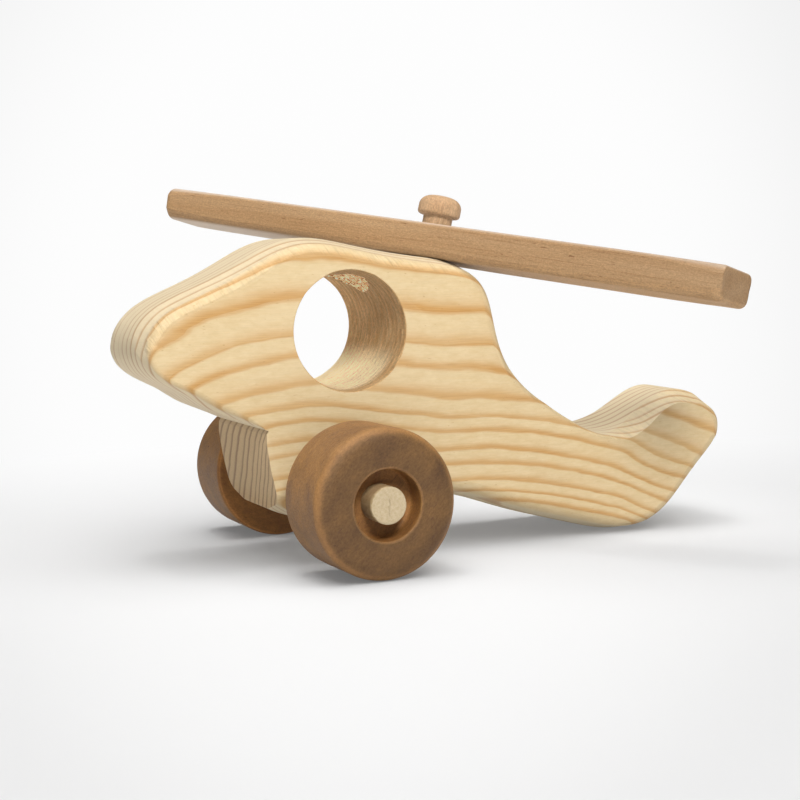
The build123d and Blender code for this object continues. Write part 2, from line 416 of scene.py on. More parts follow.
def torn(degrees, y):
    """Share of torn-out fibre at this place of the window's wall, 0 to 1."""
    rear = np.interp(y, *zip(*TORN_REAR))
    front = np.interp(y, *zip(*TORN_FRONT))
    rear += 2.2 * noise_at(y * 0.55, 2.0, 0.0) + 1.2 * noise_at(y * 1.7, 5.0, 0.0)
    front += 1.5 * noise_at(y * 0.8, 9.0, 0.0)
    if y < -20 or y > 12.5:
        return 0.0
    return float(np.clip((rear - degrees) / 2.0, 0, 1) * np.clip((degrees - front) / 2.0, 0, 1))


def window_radius(angle, y):
    """The bored radius: flared at both rims, uneven, deeper where fibre tore out."""
    if abs(y) <= HALF:
        flare = 0.32 * (max(0.0, abs(y) - 23.4) / 0.9) ** 2
    else:
        flare = 0.32 + (abs(y) - HALF) * 0.9
    cos, sin = math.cos(angle), math.sin(angle)
    radius = CABIN_R + flare
    radius += 0.035 * math.sin(y * 2.1 + 1.3 * noise_at(cos * 2, sin * 2, y * 0.05) * 6)
    radius += 0.05 * noise_at(cos * 3.0, sin * 3.0, y * 0.04)
    share = torn(math.degrees(angle), y)
    if share > 0:
        radius += share * (0.16 + 0.30 * abs(noise_at(angle * 14.0, y * 0.9, 7.0))
                           + 0.12 * noise_at(angle * 40.0, y * 2.2, 1.0))
    return radius


def window_cutter():
    outer = [-27.0, -24.3, -24.05, -23.8, -23.4]
    rows = outer + list(np.linspace(-22.9, 22.9, 56)) + [-y for y in reversed(outer)]
    segments = 200
    verts = []
    for y in rows:
        for k in range(segments):
            angle = 2 * math.pi * k / segments
            radius = window_radius(angle, y)
            verts.append((CABIN_X + radius * math.cos(angle), y,
                          CABIN_Z + radius * math.sin(angle)))
    faces = tube_faces(len(rows), segments)
    faces.append(tuple(range(segments)))
    faces.append(tuple((len(rows) - 1) * segments + k for k in range(segments)))
    return new_object("cutter", verts, faces)


def build_fuselage():
    fuselage = board()
    cut(fuselage, saw_cutter())
    cut(fuselage, window_cutter())
    # axle bore, with a small break at the faces
    bore = AXLE_R + PEG_FIT
    half = [(bore, HALF - 0.6), (AXLE_R + 0.7, HALF), (12.0, 30.0), (0.0, 30.0)]
    profile = [(radius, -z) for radius, z in reversed(half)] + half
    cut(fuselage, lathe("cutter", profile, 72, matrix=axle_matrix(0, 90)))
    # blind hole for the peg
    profile = [(0.0, -17.0), (PEG_R, -17.0), (PEG_R, 10.0), (0.0, 10.0)]
    cut(fuselage, lathe("cutter", profile, 64, matrix=mast_matrix()))
    shade(fuselage, FUSELAGE_CREASE)
    return fuselage


# ------------------------------------------------------------------ rotor blade
BLADE_CREASE = 13.5
CREASE_ANGLE = 16.0       # the +Y corner arcs stop this short of the side face


def blade_section(x):
    """(y, z, normal y, normal z) round the blade from its lower +Y corner."""
    half = BLADE_W / 2
    grow = max(0.0, (abs(x) / (BLADE_L / 2) - 0.72) / 0.28) ** 1.6

    def radius(base, rise_back, rise_front, sway, rate, seed):
        """Corner radius, growing towards the -X and +X ends."""
        return (base + (rise_back if x < 0 else rise_front) * grow) \
            * (1 + sway * noise_at(x * rate, seed, 0.5))

    low = radius(3.3, 1.9, 1.6, sway=0.10, rate=0.03, seed=4.0)       # lower +Y
    top = radius(2.0, 2.8, 2.2, sway=0.14, rate=0.025, seed=9.0)      # upper +Y
    far = min(radius(2.7, 3.4, 1.8, sway=0.10, rate=0.03, seed=14.0), 5.6)   # both -Y
    points = []

    def corner(centre_y, centre_z, size, start, end):
        for k in range(9):
            angle = math.radians(start + (end - start) * k / 8)
            cos, sin = math.cos(angle), math.sin(angle)
            points.append((centre_y + size * cos, centre_z + size * sin, cos, sin))

    short = 1 - math.cos(math.radians(CREASE_ANGLE))
    corner(half + low * short - low, low, low, -90, -CREASE_ANGLE)
    corner(half + top * short - top, BLADE_T - top, top, CREASE_ANGLE, 90)
    points += [(half * q, BLADE_T, 0.0, 1.0) for q in (0.6, 0.2, -0.2, -0.6)]
    corner(-half + far, BLADE_T - far, far, 90, 180)
    corner(-half + far, far, far, 180, 270)
    points += [(half * q, 0.0, 0.0, -1.0) for q in (-0.6, -0.2, 0.2, 0.6)]
    # the -Y side draws in towards both ends
    draw = 1.6 * max(0.0, (abs(x) - 92.0) / 19.0) ** 2
    return [(y + draw * max(0.0, -y / half), z, normal_y, normal_z)
            for y, z, normal_y, normal_z in points]


def blade_end_x(sign, y):
    """Where the sanded end face lies, rounder on the -Y side."""
    crown = 0.007 * min(0.0, y + 5.0) ** 2
    if sign < 0:
        return -(111.5 - 0.070 * y + 1.5 * min(1.0, max(0.0, (8.0 - y) / 15.0)) - crown)
    return 111.8 - 0.02 * y - crown


def blade_end_radius(sign, y, z):
    near = min(1.0, max(0.0, (y - 8.0) / 4.5))      # +Y side
    far = min(1.0, max(0.0, (-y - 8.0) / 4.5))      # -Y side
    low = min(1.0, max(0.0, (6.5 - z) / 5.0))
    if sign < 0:
        return (1.8 + 0.6 * low) * (1 - near - far) + (0.40 + 3.4 * low) * near + 5.3 * far
    return (2.2 + 1.0 * low) * (1 - near - far) + (2.9 + 1.3 * low) * near + 3.9 * far


def blade_end_ring(sign, angle):
    """angle runs from 0 where the rounding begins to a right angle at the end face."""
    ring = []
    for y, z, normal_y, normal_z in blade_section(sign * 111.0):
        radius = blade_end_radius(sign, y, z)
        inset = radius * (1 - math.cos(angle))
        # the angle's sine carries the ring outwards as its cosine draws it in
        ring.append((blade_end_x(sign, y) - sign * radius * (1 - math.sin(angle)),
                     y - normal_y * inset, z - normal_z * inset))
    return ring


def blade_middle_ring(x):
    ring = []
    for y, z, normal_y, normal_z in blade_section(x):
        inset = 0.05 * (noise_at(x * 0.05, y * 0.2, z * 0.2) + 0.4)
        ring.append((x, y - normal_y * inset, z - normal_z * inset))
    return ring


def build_blade():
    steps = 7
    angles = [math.radians(90 * k / steps) for k in range(steps + 1)]
    middle = np.concatenate([np.linspace(-107.5, -84, 12), np.linspace(-80, 80, 41),
                             np.linspace(84, 107.0, 12)])
    rings = [blade_end_ring(-1, angle) for angle in reversed(angles)]
    rings += [blade_middle_ring(float(x)) for x in middle]
    rings += [blade_end_ring(1, angle) for angle in angles]
    count = len(rings[0])
    faces = tube_faces(len(rings), count)
    # each end face is a ladder between its upper and lower rims, so that it can be crowned
    upper = list(range(9, 31))
    lower = list(range(8, -1, -1)) + list(range(count - 1, 30, -1))
    for base in (0, (len(rings) - 1) * count):
        for k in range(21):
            faces.append((base + upper[k], base + upper[k + 1],
                          base + lower[k + 1], base + lower[k]))
    matrix = mast_matrix()
    verts = [vert for ring in rings for vert in ring]
    blade = new_object("rotor_blade_wood", verts, faces, BLADE_CREASE, matrix)
    # hole for the peg, eased at both faces
    hole = PEG_R + PEG_FIT
    profile = [(0.0, -5.0), (hole + 5.5, -5.0), (hole + 0.5, 0.0), (hole, 0.5),
               (hole, BLADE_T - 0.5), (hole + 0.5, BLADE_T), (hole + 5.5, BLADE_T + 5.0),
               (0.0, BLADE_T + 5.0)]
    cut(blade, lathe("cutter", profile, 72, matrix=matrix))
    shade(blade, BLADE_CREASE)
    return blade


# ------------------------------------------------------------------ rotor peg
HEAD_R, HEAD_H = 7.55, 7.2
HEAD_Z = BLADE_T + 4.0    # underside of the head
HEAD_RIM = 3.0            # height of the head below its dome


def build_peg():
    profile = [(0.0, -16.9), (PEG_R - 0.8, -16.9), (PEG_R, -16.1), (PEG_R, -8.0), (PEG_R, 0.0),
               (PEG_R, 6.0), (PEG_R, HEAD_Z - 1.2)]
    for degrees in (15, 45, 70, 90):
        angle = math.radians(degrees)
        profile.append((PEG_R + 0.35 * (1 - math.cos(angle)),
                        HEAD_Z - 0.5 + 0.5 * math.sin(angle)))
    profile += arc(HEAD_R - 1.2, HEAD_Z + 1.2, 1.2, -90, 0, 6)
    profile += [(HEAD_R, HEAD_Z + 2.2), (HEAD_R - 0.02, HEAD_Z + HEAD_RIM)]
    for k in range(1, 17):                      # domed head
        angle = math.radians(90 * k / 16)
        profile.append((HEAD_R * math.cos(angle) ** 0.62 if k < 16 else 0.0,
                        HEAD_Z + HEAD_RIM + (HEAD_H - HEAD_RIM) * math.sin(angle) ** 0.95))

    def wobble(radius, z, angle):
        uneven = 0.05 * noise_at(math.cos(angle) * 0.9, math.sin(angle) * 0.9, z * 0.12)
        return radius + uneven, z
    return lathe("rotor_peg_wood", profile, 96, 38.0, mast_matrix(), wobble)


# ------------------------------------------------------------------ wheels and axle
def build_wheel(name, side, seed):
    """side is +1 to port, -1 to starboard. Local Z runs outwards from the inner face."""
    floor_z = WHEEL_W - RECESS_D
    recess = RECESS_R - 0.15
    profile = [(AXLE_R, 0.35), (AXLE_R + 0.35, 0.0), (AXLE_R + 5.0, 0.0), (WHEEL_R - 6.0, 0.0)]
    profile += arc(WHEEL_R - 1.6, 1.6, 1.6, -90, 0, 7)
    profile += [(WHEEL_R, 5.0 + i * 3.2) for i in range(6)]
    # outer edge: a quarter ellipse, 4.6 across and 3.3 deep
    for degrees in np.linspace(0, 90, 13):
        profile.append((WHEEL_R - 4.6 + 4.6 * math.cos(math.radians(degrees)),
                        WHEEL_W - 3.3 + 3.3 * math.sin(math.radians(degrees))))
    profile += [(WHEEL_R - 6.0, WHEEL_W), (RECESS_R + 4.0, WHEEL_W)]
    profile += arc(RECESS_R + 0.35, WHEEL_W - 0.5, 0.5, 90, 180, 5)
    profile += [(recess, WHEEL_W - 2.6), (recess, WHEEL_W - 4.6)]
    profile += arc(RECESS_R - 1.5, floor_z + 1.5, 1.5, 0, -90, 6)
    profile += [(AXLE_R + 2.0, floor_z), (AXLE_R, floor_z)]
    profile.append(profile[0])

    def wobble(radius, z, angle):
        if radius < AXLE_R + 0.5:
            return radius, z
        cos, sin = math.cos(angle), math.sin(angle)
        uneven = 0.07 * noise_at(cos * 1.3 + seed, sin * 1.3, z * 0.08)
        uneven += 0.03 * noise_at(cos * 6 + seed, sin * 6, z * 0.3)
        height = z + 0.03 * noise_at(radius * 0.3, angle * 2.0, seed)
        return radius - 0.06 + uneven, min(WHEEL_W, max(0.0, height))
    return lathe(name, profile, 168, 35.0, axle_matrix(side * WHEEL_Y, -90 * side), wobble)


def build_axle():
    end = [(AXLE_R, AXLE_HALF - 0.45), (AXLE_R - 0.12, AXLE_HALF - 0.12)]
    end += [(radius, AXLE_HALF) for radius in (AXLE_R - 0.45, 5.2, 4.4, 3.0, 1.5, 0.0)]
    profile = [(radius, -z) for radius, z in reversed(end)]
    profile += [(AXLE_R, -AXLE_HALF + 2.0 + i * (2 * AXLE_HALF - 4.0) / 12) for i in range(13)]
    profile += end

    def wobble(radius, z, angle):
        """Chipped and roughly cut at the ends only."""
        if abs(z) < AXLE_HALF - 1.5:
            return radius, z
        cos, sin = math.cos(angle), math.sin(angle)
        chip = 0.28 * max(0.0, noise_at(cos * 2.2 + z, sin * 2.2, 3.0) - 0.12) \
            * (1 if radius > 5 else 0)
        rough = 0.11 * (noise_at(cos * radius * 0.8, sin * radius * 0.8, z) - 0.4) - 0.02
        return radius - chip, z + math.copysign(1, z) * min(0.0, rough)
    return lathe("axle_wood", profile, 84, 35.0, axle_matrix(0, -90), wobble)


# ------------------------------------------------------------------ node helpers
class Value:
    """A node's output. Arithmetic on it adds math nodes."""

    def __init__(self, net, socket):
        self.net, self.socket = net, socket

    def __add__(self, other):
        return self.net.math("ADD", self, other)

    def __radd__(self, other):
        return self.net.math("ADD", other, self)

    def __sub__(self, other):
        return self.net.math("SUBTRACT", self, other)

    def __rsub__(self, other):
        return self.net.math("SUBTRACT", other, self)

    def __mul__(self, other):
        return self.net.math("MULTIPLY", self, other)

    def __pow__(self, other):
        return self.net.math("POWER", self, other)

    def __abs__(self):
        return self.net.math("ABSOLUTE", self)

    def remap(self, source, target=(0.0, 1.0), kind="LINEAR"):
        """Carries the source range to the target range, held at both ends."""
        node = self.net.node("ShaderNodeMapRange", interpolation_type=kind)
        self.net.put(node.inputs["Value"], self)
        for key, number in zip(("From Min", "From Max", "To Min", "To Max"),
                               (*source, *target)):
            node.inputs[key].default_value = number
        return self.net.out(node)

    def step(self, start, end):
        """Smooth 0 to 1 on the way from start to end (either order)."""
        if start <= end:
            return self.remap((start, end), (0.0, 1.0), "SMOOTHSTEP")
        return self.remap((end, start), (1.0, 0.0), "SMOOTHSTEP")


class Net:
    """Short calls for building a node tree."""

    def __init__(self, tree):
        self.tree = tree
        tree.nodes.clear()

    def node(self, kind, **settings):
        node = self.tree.nodes.new(kind)
        for key, setting in settings.items():
            setattr(node, key, setting)
        return node

    def out(self, node, key=0):
        return Value(self, node.outputs[key])

    def put(self, socket, value):
        if isinstance(value, Value):
            self.tree.links.new(value.socket, socket)
        else:
            socket.default_value = value

    def math(self, operation, *values):
        node = self.node("ShaderNodeMath", operation=operation)
        for i, value in enumerate(values):
            self.put(node.inputs[i], value)
        return self.out(node)

    def hypot(self, first, second):
        return self.math("SQRT", first * first + second * second)

    def split(self, vector):
        node = self.node("ShaderNodeSeparateXYZ")
        self.put(node.inputs[0], vector)
        return tuple(self.out(node, i) for i in range(3))

    def vec(self, *parts):
        node = self.node("ShaderNodeCombineXYZ")
        for i, part in enumerate(parts):
            self.put(node.inputs[i], part)
        return self.out(node)

    def noise(self, place, stretch=None, detail=2.0, rough=0.5, distortion=0.0, scale=1.0,
              shift=(0.0, 0.0, 0.0)):
        """Noise at a vector, or at a tuple of coordinates each multiplied and shifted."""
        if isinstance(place, tuple):
            place = self.vec(*[part * factor + offset if offset else part * factor
                               for part, factor, offset in zip(place, stretch, shift)])
        node = self.node("ShaderNodeTexNoise")
        for key, value in (("Vector", place), ("Scale", scale), ("Detail", detail),
                           ("Roughness", rough), ("Distortion", distortion)):
            self.put(node.inputs[key], value)
        return self.out(node, "Fac")

    def curve(self, value, points, low, high):
        """Looks value up in points, whose heights lie between low and high."""
        start, end = points[0][0], points[-1][0]
        share = value.remap((start, end))
        node = self.node("ShaderNodeFloatCurve")
        node.mapping.use_clip = True
        curve = node.mapping.curves[0]
        places = [((x - start) / (end - start), (y - low) / (high - low)) for x, y in points]
        curve.points[0].location = places[0]
        curve.points[1].location = places[-1]
        for place in places[1:-1]:
            curve.points.new(*place)
        node.mapping.update()
        self.put(node.inputs["Value"], share)
        return self.out(node).remap((0.0, 1.0), (low, high))

    def ramp(self, value, stops):
        """stops are (position, colour or grey)."""
        node = self.node("ShaderNodeValToRGB")
        elements = node.color_ramp.elements
        while len(elements) < len(stops):
            elements.new(0.5)
        for element, (position, color) in zip(elements, stops):
            element.position = position
            element.color = (*color, 1) if isinstance(color, tuple) else (color, color, color, 1)
        self.put(node.inputs[0], value)
        return self.out(node)

    def mix(self, share, first, second, mode="MIX"):
        node = self.node("ShaderNodeMix", data_type="RGBA", blend_type=mode)
        self.put(node.inputs[0], share)
        for i, color in ((6, first), (7, second)):
            self.put(node.inputs[i], (*color, 1.0) if isinstance(color, tuple) else color)
        return self.out(node, 2)

    def tint(self, color, filter_color):
        return self.mix(1.0, color, filter_color, "MULTIPLY")

    def bright(self, color, factor):
        node = self.node("ShaderNodeVectorMath", operation="SCALE")
        self.put(node.inputs[0], color)
        self.put(node.inputs["Scale"], factor)
        return self.out(node)

    def bump(self, height, distance, strength, normal=None):
        """distance in metres."""
        node = self.node("ShaderNodeBump")
        self.put(node.inputs["Height"], height)
        node.inputs["Distance"].default_value = distance
        node.inputs["Strength"].default_value = strength
        if normal is not None:
            self.put(node.inputs["Normal"], normal)
        return self.out(node)

    def worn_edge(self, start, end):
        """0 to 1 towards convex edges."""
        geometry = self.node("ShaderNodeNewGeometry")
        return self.out(geometry, "Pointiness").step(start, end)


class Surface(Net):
    """A material round one principled shader."""

    def __init__(self, name):
        self.material = bpy.data.materials.new(name)
        self.material.use_nodes = True
        super().__init__(self.material.node_tree)
        self.output = self.node("ShaderNodeOutputMaterial")
        self.shader = self.node("ShaderNodeBsdfPrincipled")
        self.put(self.output.inputs["Surface"], self.out(self.shader))
        self.coordinates = self.node("ShaderNodeTexCoord")
        self.object = self.out(self.coordinates, "Object")      # metres

    def position(self):
        """Object coordinates in millimetres."""
        return tuple(part * 1000.0 for part in self.split(self.object))

    def normal(self):
        return self.split(self.out(self.coordinates, "Normal"))

    def finish(self, color, roughness, normal, specular, neutral=0.0):
        if neutral:
            # colour thrown onto the paper is toned down, as under white-balanced studio light
            path = self.node("ShaderNodeLightPath")
            grey = self.node("ShaderNodeRGBToBW")
            self.put(grey.inputs[0], color)
            toned = self.node("ShaderNodeCombineColor")
            for i in range(3):
                self.put(toned.inputs[i], self.out(grey) * 1.1)
            color = self.mix(self.out(path, "Is Diffuse Ray") * neutral, color, self.out(toned))
        for key, value in (("Base Color", color), ("Roughness", roughness), ("Normal", normal),
                           ("Specular IOR Level", specular)):
            self.put(self.shader.inputs[key], value)
        return self.material


def srgb(*channels):
    """Linear colour from 0 to 255 channels."""
    shares = [channel / 255.0 for channel in channels]
    return tuple(share / 12.92 if share <= 0.04045 else ((share + 0.055) / 1.055) ** 2.4
                 for share in shares)


# ------------------------------------------------------------------ pine
MID = (0.3, 0.7)          # where most of a noise's values lie


def growth_rings(net, place):
    """How dark the latewood is, 0 to about 1."""
    x, y, z = place
    # slow wander of the grain
    wander = net.noise(place, (0.012, 0.02, 0.05), detail=2.0, rough=0.5)
    quiver = net.noise(place, (0.05, 0.1, 0.16), detail=2.0, rough=0.55)
    arch = net.curve(x, ARCH, low=-31.0, high=9.0)
    # the board's lower port edge runs along the grain
    hold = z.step(42.0, 24.0) * y.step(6.0, 17.0) * x.step(34.0, 14.0)
    held_y = y + (HALF - y) * hold * 0.85
    radius = net.hypot(held_y - PITH_Y, z - arch - PITH_Z)
    radius = radius + ((wander - 0.5) * 2.2 + (quiver - 0.5) * 1.3)
    rings = [(ring, float(i)) for i, ring in enumerate(RING_R)]
    count = net.curve(radius, rings, low=0.0, high=float(len(RING_R) - 1))
    ring_id = net.math("FLOOR", count)
    # after a band's sharp outer edge: pale earlywood, then a slow build-up to the next band
    dark = net.ramp(net.math("FRACT", count), [
        (0.0, 1.0), (0.045, 0.86), (0.095, 0.22), (0.15, 0.03), (0.42, 0.0),
        (0.62, 0.14), (0.77, 0.50), (0.87, 0.88), (0.94, 1.0)])
    # each ring has its own strength
    random = net.node("ShaderNodeTexWhiteNoise", noise_dimensions="1D")
    net.put(random.inputs["W"], ring_id + 3.3)
    strength = net.out(random, "Value").remap((0.0, 1.0), (0.72, 1.04))
    # towards the far side every other ring is faint
    odd = abs(net.math("FRACT", (ring_id + 0.5) * 0.5) - 0.25).step(0.20, 0.30)
    strength = strength * (1.0 - odd * ring_id.step(11.6, 10.4) * 0.70)
    patchy = net.noise(place, (0.02, 0.05, 0.06), detail=3.0, rough=0.55)
    return dark * (strength * patchy.remap(MID, (0.78, 1.12)))


def window_wall_color(net, x_off, y, z_off, chatter, fine_chatter):
    """Tool-burnished wall of the window, with painted light on it; also how cleanly it was cut,
    which marks its painted-lit floor, 0 to 1.
    """
    color = net.mix(chatter.remap((0.35, 0.65)), srgb(212, 160, 100), srgb(234, 192, 134))
    # the cutter ran cleaner along the bottom, where it followed the grain; that floor is also
    # painted near-white as a pool of light
    clean_cut_and_lit = z_off.step(-5.0, -14.0) * y.step(21.0, 13.0) * x_off.step(6.0, -4.0)
    color = net.mix(clean_cut_and_lit * 0.95, color, srgb(255, 238, 196))
    color = net.bright(color, fine_chatter.remap(MID, (0.80, 1.14)))
    # painted light: the wall is brighter towards its -Y rim, where light comes in through the
    # window
    color = net.bright(color, y.remap((-22.0, 4.0), (1.32, 0.95)))
    # bands left by the cutter, one every three millimetres, and a speckle of lifted fibre
    bands = net.math("SINE", y * 2.1 + (chatter - 0.5) * 7.0)
    color = net.bright(color, 1.0 + bands * 0.075)
    lint = net.noise(net.object, scale=1300.0, detail=3.0, rough=0.75)
    return net.bright(color, lint.remap((0.38, 0.62), (0.82, 1.16))), clean_cut_and_lit


def torn_mask(net, y, angle):
    """1 inside the torn patch, with a jagged border."""
    degrees = angle * (180.0 / math.pi)
    rear = net.curve(y, TORN_REAR, low=110.0, high=150.0)
    front = net.curve(y, TORN_FRONT, low=110.0, high=150.0)
    jag = net.noise((y, degrees, 0.0), (0.9, 0.25, 0.0), detail=3.0, rough=0.7)
    jag = (jag - 0.5) * 9.0
    inside = (rear + jag - degrees).step(0.0, 1.3) * (degrees - (front + jag)).step(0.0, 1.3)
    return inside * (y.step(-20.5, -19.5) * y.step(13.0, 12.0))


def pine_material():
    net = Surface("softwood_board")
    x, y, z = place = net.position()
    normal_x, normal_y, normal_z = net.normal()
    dark = growth_rings(net, place)

    # board faces: fibre runs long along the board
    fibre = net.noise(place, (0.10, 3.2, 3.2), detail=4.0, rough=0.62)
    fine_fibre = net.noise(place, (0.35, 9.0, 9.0), detail=2.0, rough=0.6)
    mottle = net.noise(place, (0.25, 0.6, 0.6), detail=4.0, rough=0.6)
    early = net.mix(mottle.remap(MID), srgb(234, 210, 166), srgb(226, 199, 151))
    late = net.mix(fibre.remap(MID), srgb(203, 150, 86), srgb(214, 168, 105))
    color = net.mix(dark, early, late)
    color = net.bright(color, fibre.remap((0.25, 0.75), (0.955, 1.035)))
    color = net.bright(color, fine_fibre.remap(MID, (0.975, 1.02)))
    # resin canals: short thin dark ticks
    canals = net.noise(place, (0.45, 2.6, 2.6), detail=1.0, rough=0.4).step(0.735, 0.79)
    color = net.mix(canals * 0.45, color, srgb(178, 124, 66))

    # end grain drinks more finish
    end = abs(normal_x) ** 2.0
    pore = net.noise(net.object, scale=1600.0, detail=2.0, rough=0.6)
    end_color = net.mix(dark.step(0.25, 0.85) * 0.75, srgb(214, 188, 146), srgb(176, 133, 92))
    end_color = net.bright(end_color, pore.remap(MID, (0.93, 1.05)))
    color = net.mix(end * 0.72, color, end_color)

    # edge surfaces were routed and sanded across the rings: paler and greyer than the face
    edge = abs(normal_y).step(0.60, 0.14)
    paler = net.mix(dark.step(0.20, 0.92) * 0.66, srgb(240, 223, 190), srgb(198, 152, 104))
    paler = net.bright(paler, fine_fibre.remap(MID, (0.95, 1.03)))
    # painted light: the edge surfaces grow brighter towards the tail, whose top lies in shade
    paler = net.bright(paler, x.remap((-40.0, -75.0), (1.0, 1.16)))
    color = net.mix(edge * 0.78, color, paler)

    # window wall, cut across the fibres
    x_off, z_off = x - CABIN_X, z - CABIN_Z
    radius = net.hypot(x_off, z_off)
    wall = radius.step(CABIN_R + 0.9, CABIN_R + 0.25) * abs(normal_y).step(0.85, 0.55)
    angle = net.math("ARCTAN2", z_off, x_off)
    chatter = net.noise((y, angle, 0.0), (0.62, 2.2, 0.0), detail=3.0, rough=0.62,
                        distortion=0.3)
    fine_chatter = net.noise((y, angle, 0.5), (2.6, 7.0, 1.0), detail=3.0, rough=0.6,
                             distortion=0.4)
    wall_color, clean_cut_and_lit = window_wall_color(net, x_off, y, z_off, chatter, fine_chatter)
    torn_patch = torn_mask(net, y, angle) * wall
    shred = net.noise(place, (0.8, 1.0, 1.4), detail=5.0, rough=0.74, distortion=0.9)
    torn_color = net.ramp(shred.remap((0.41, 0.60)), [
        (0.0, srgb(120, 62, 20)), (0.26, srgb(186, 120, 52)), (0.46, srgb(236, 190, 118)),
        (0.72, srgb(252, 230, 184)), (1.0, srgb(255, 246, 220))])
    color = net.mix(wall * 0.88, color, wall_color)
    color = net.mix(torn_patch, color, torn_color)
    # frayed fibres at the window's port rim
    rim = abs(radius - (CABIN_R + 0.35)).step(0.45, 0.1) * normal_y.step(0.2, 0.9)
    fray = net.noise((angle, radius, y), (60.0, 2.0, 0.5), detail=3.0, rough=0.7)
    color = net.mix(rim * fray.step(0.5, 0.72), color, srgb(196, 150, 96))

    # sawn step under the nose
    sawn = normal_x.step(0.75, 0.93) * z.step(47.0, 45.8) * x.step(60.0, 63.0)
    kerf = net.noise((0.0, y, z), (1.0, 0.5, 2.2), detail=3.0, rough=0.65, distortion=0.2)
    saw_color = net.mix(dark.step(0.08, 0.80) * 0.85, srgb(217, 184, 136), srgb(152, 106, 78))
    saw_color = net.bright(saw_color, kerf.remap(MID, (0.90, 1.04)))
    color = net.mix(sawn * 0.92, color, saw_color)

    # worn edges are a little paler
    color = net.mix(net.worn_edge(0.515, 0.56) * 0.12, color, srgb(250, 232, 196))
    # chatter left by the router along the upper round-overs
    along = x * -0.90 + z * 0.42
    ripple = net.noise((along, y, z), (0.85, 0.14, 0.05), detail=2.0, rough=0.6)
    rippled = abs(normal_y).step(0.12, 0.35) * abs(normal_y).step(0.985, 0.90) \
        * normal_z.step(0.05, 0.25)
    color = net.bright(color, 1.0 + rippled * ((ripple - 0.5) * 0.34))

    # relief: grain, end grain, window wall, torn fibre, router chatter
    height = dark * 0.55 + fibre * 0.35 + fine_fibre * 0.12
    normal = net.bump(height, distance=0.00022, strength=0.55)
    height = (pore * 1.0 + kerf * 0.6) * (end * (1.0 - wall))
    normal = net.bump(height, distance=0.0004, strength=0.5, normal=normal)
    height = wall * (1.0 - clean_cut_and_lit * 0.8) * (chatter * 0.8 + fine_chatter * 0.55)
    normal = net.bump(height, distance=0.0011, strength=0.8, normal=normal)
    normal = net.bump(torn_patch * shred, distance=0.0035, strength=0.9, normal=normal)
    normal = net.bump(rippled * ripple, distance=0.0010, strength=0.7, normal=normal)
    roughness = fibre.remap(MID, (0.60, 0.50)) - dark * 0.06
    roughness = roughness + net.math("MAXIMUM", end, wall) * 0.2
    # painted light: the torn patch and the cleanly cut floor of the bore glow faintly, standing
    # in for light inside the bore, so it never looks black
    glow = clean_cut_and_lit * wall * (1.0 - torn_patch)
    painted_glow_strength = torn_patch * 0.52 + glow * 0.13 * fine_chatter.remap((0.35, 0.65), (0.5, 1.5))
    net.put(net.shader.inputs["Emission Color"], net.mix(glow, torn_color, (1.0, 0.62, 0.22)))
    net.put(net.shader.inputs["Emission Strength"], painted_glow_strength)
    return net.finish(color, roughness, normal, specular=0.32, neutral=0.8)


# ------------------------------------------------------------------ hardwoods and dowel
def hardwood_material(name, axis, light, middle, deep, fleck_color, seed):
    """Close-grained hardwood with small flecks; axis is the grain's direction."""
    net = Surface(name)
    x, y, z = net.position()
    normal_x, _, normal_z = net.normal()
    grain = {"x": (x, y, z), "z": (z, x, y)}[axis]
    band = net.noise(grain, (0.006, 0.16, 0.16), detail=3.0, rough=0.5, shift=(0, seed, 0))
    streak = net.noise(grain, (0.035, 1.3, 1.3), detail=4.0, rough=0.6, shift=(0, 0, seed))
    fine = net.noise(grain, (0.45, 2.0, 2.0), detail=4.0, rough=0.75)
    grit = net.noise(grain, (1.3, 1.7, 1.7), detail=4.0, rough=0.8, shift=(0, 0, seed))
    color = net.mix(band.remap((0.35, 0.65)), middle, light)
    color = net.mix(streak.step(0.52, 0.72) * 0.5, color, deep)
    color = net.bright(color, fine.remap((0.28, 0.72), (0.84, 1.13)))
    color = net.bright(color, grit.remap((0.38, 0.62), (0.84, 1.14)))
    fleck = net.noise(grain, (0.28, 2.1, 2.1), detail=1.0, rough=0.4).step(0.70, 0.76)
    color = net.mix(fleck * 0.6, color, fleck_color)
    if axis == "x":                             # painted light: upper faces, and lower faces towards +X, are paler, as lit from above and from the floor
        # painted shade: the bar darkens towards its -X end
        color = net.bright(color, x.remap((-111.0, 20.0), (0.70, 0.88)))
        # painted light: the paleness grows towards +X
        flat = normal_z.step(0.45, 0.95) + normal_z.step(-0.75, -0.98) * x.step(-10.0, 95.0)
        color = net.mix(flat * x.remap((-80.0, 80.0), (0.40, 0.68)), color,
                        srgb(236, 220, 202))
        # painted light from the floor: the lower face is brighter towards -X
        low = normal_z.step(-0.15, -0.6) * x.step(10.0, -70.0)
        color = net.bright(color, 1.0 + low * 0.36)
        end = abs(normal_x) ** 3.0
        color = net.bright(color, end.remap((0.0, 1.0), (1.0, 1.02)))
    else:                                       # paler on top
        color = net.mix(normal_z.step(0.86, 0.99) * 0.40, color, srgb(244, 226, 200))
    color = net.mix(net.worn_edge(0.52, 0.60) * 0.18, color, light)
    height = fine * 0.8 + grit * 0.5 - fleck * 0.5
    normal = net.bump(height, distance=0.00035, strength=0.6)
    return net.finish(color, fine.remap(MID, (0.66, 0.52)), normal, specular=0.3, neutral=0.8)


